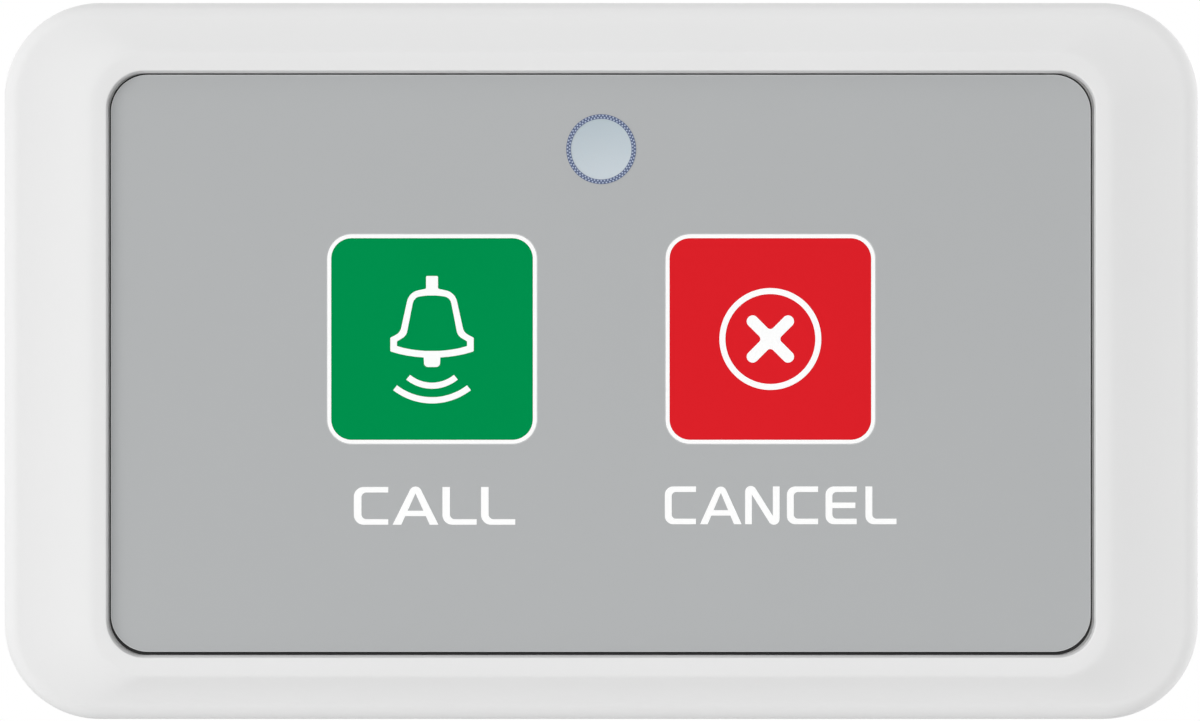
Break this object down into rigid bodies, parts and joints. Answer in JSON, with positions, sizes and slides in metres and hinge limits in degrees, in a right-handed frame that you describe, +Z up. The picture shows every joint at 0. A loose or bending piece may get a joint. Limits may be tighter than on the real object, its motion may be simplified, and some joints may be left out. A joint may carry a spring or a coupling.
{
  "type": "wall call button",
  "caption": "Wall-mounted wireless call unit with a green call key, a red cancel key, a round indicator window and a coin cell behind a turn cap in its back.",
  "frame": {"origin": "centre of the flat rear face that lies on the wall", "axes": "+X to the right seen from the front, +Y into the wall, +Z up; the keys face -Y"},
  "size_m": [0.09, 0.0155, 0.054],
  "materials": {
    "housing_white": "satin moulded ABS",
    "cover_white": "fine-grained ABS",
    "panel_grey": "printed polycarbonate film",
    "key_green": "printed polycarbonate film",
    "key_red": "printed polycarbonate film",
    "border_white": "printed polycarbonate film",
    "window_clear": "frosted light guide",
    "adhesive": "black double-sided film",
    "plunger_white": "moulded acetal",
    "seal_black": "silicone rubber",
    "zinc_steel": "zinc-plated steel",
    "board_green": "solder mask over glass laminate",
    "part_black": "moulding compound",
    "part_cream": "ceramic",
    "led_white": "moulded body",
    "tinned_metal": "tin-plated sheet",
    "cell_can": null,
    "spring_brass": "plated spring strip"
  },
  "bodies": {
    "housing": {"front_housing": "housing_white", "rear_cover": "cover_white", "housing_seal": "seal_black", "housing_screws": "zinc_steel", "panel_adhesive": "adhesive", "panel_overlay": "panel_grey", "indicator_lens": "window_clear", "call_flexure": "border_white", "cancel_flexure": "border_white", "circuit_board": "board_green", "board_screws": "zinc_steel", "call_switch_base": "part_black", "call_switch_cover": "tinned_metal", "call_switch_dome": "tinned_metal", "cancel_switch_base": "part_black", "cancel_switch_cover": "tinned_metal", "cancel_switch_dome": "tinned_metal", "switch_terminals": "tinned_metal", "indicator_led": "led_white", "controller_chip": "part_black", "chip_leads": "tinned_metal", "transmitter_can": "tinned_metal", "crystal_can": "tinned_metal", "antenna_loop": "spring_brass", "chip_components": "part_cream", "negative_contact": "spring_brass", "positive_contact": "spring_brass", "coin_cell": "cell_can"},
    "call_key": {"call_key": "plunger_white", "call_key_adhesive": "adhesive", "call_key_film": "key_green"},
    "cancel_key": {"cancel_key": "plunger_white", "cancel_key_adhesive": "adhesive", "cancel_key_film": "key_red"},
    "call_stem": {"call_switch_stem": "part_black"},
    "cancel_stem": {"cancel_switch_stem": "part_black"},
    "battery_cap": {"battery_cap": "cover_white", "cap_o_ring": "seal_black"}
  },
  "joints": [
    {"name": "call_press", "type": "slide", "parent": "housing", "child": "call_key", "axis": [0, 1, 0], "range_m": [0, 0.0003], "stiffness_N_per_m": 5000, "deforming": ["call_flexure"]},
    {"name": "cancel_press", "type": "slide", "parent": "housing", "child": "cancel_key", "axis": [0, 1, 0], "range_m": [0, 0.0003], "stiffness_N_per_m": 5000, "deforming": ["cancel_flexure"]},
    {"name": "call_stem_press", "type": "slide", "parent": "housing", "child": "call_stem", "axis": [0, 1, 0], "range_m": [0, 0.0003], "deforming": ["call_switch_dome"]},
    {"name": "cancel_stem_press", "type": "slide", "parent": "housing", "child": "cancel_stem", "axis": [0, 1, 0], "range_m": [0, 0.0003], "deforming": ["cancel_switch_dome"]},
    {"name": "cap_turn", "type": "hinge", "parent": "housing", "child": "battery_cap", "pos_m": [0, 0, 0], "axis": [0, 1, 0], "range_deg": [0, 35]}
  ],
  "couplings": [
    {"joint": "call_stem_press", "follows": "call_press", "ratio": 1},
    {"joint": "cancel_stem_press", "follows": "cancel_press", "ratio": 1}
  ]
}
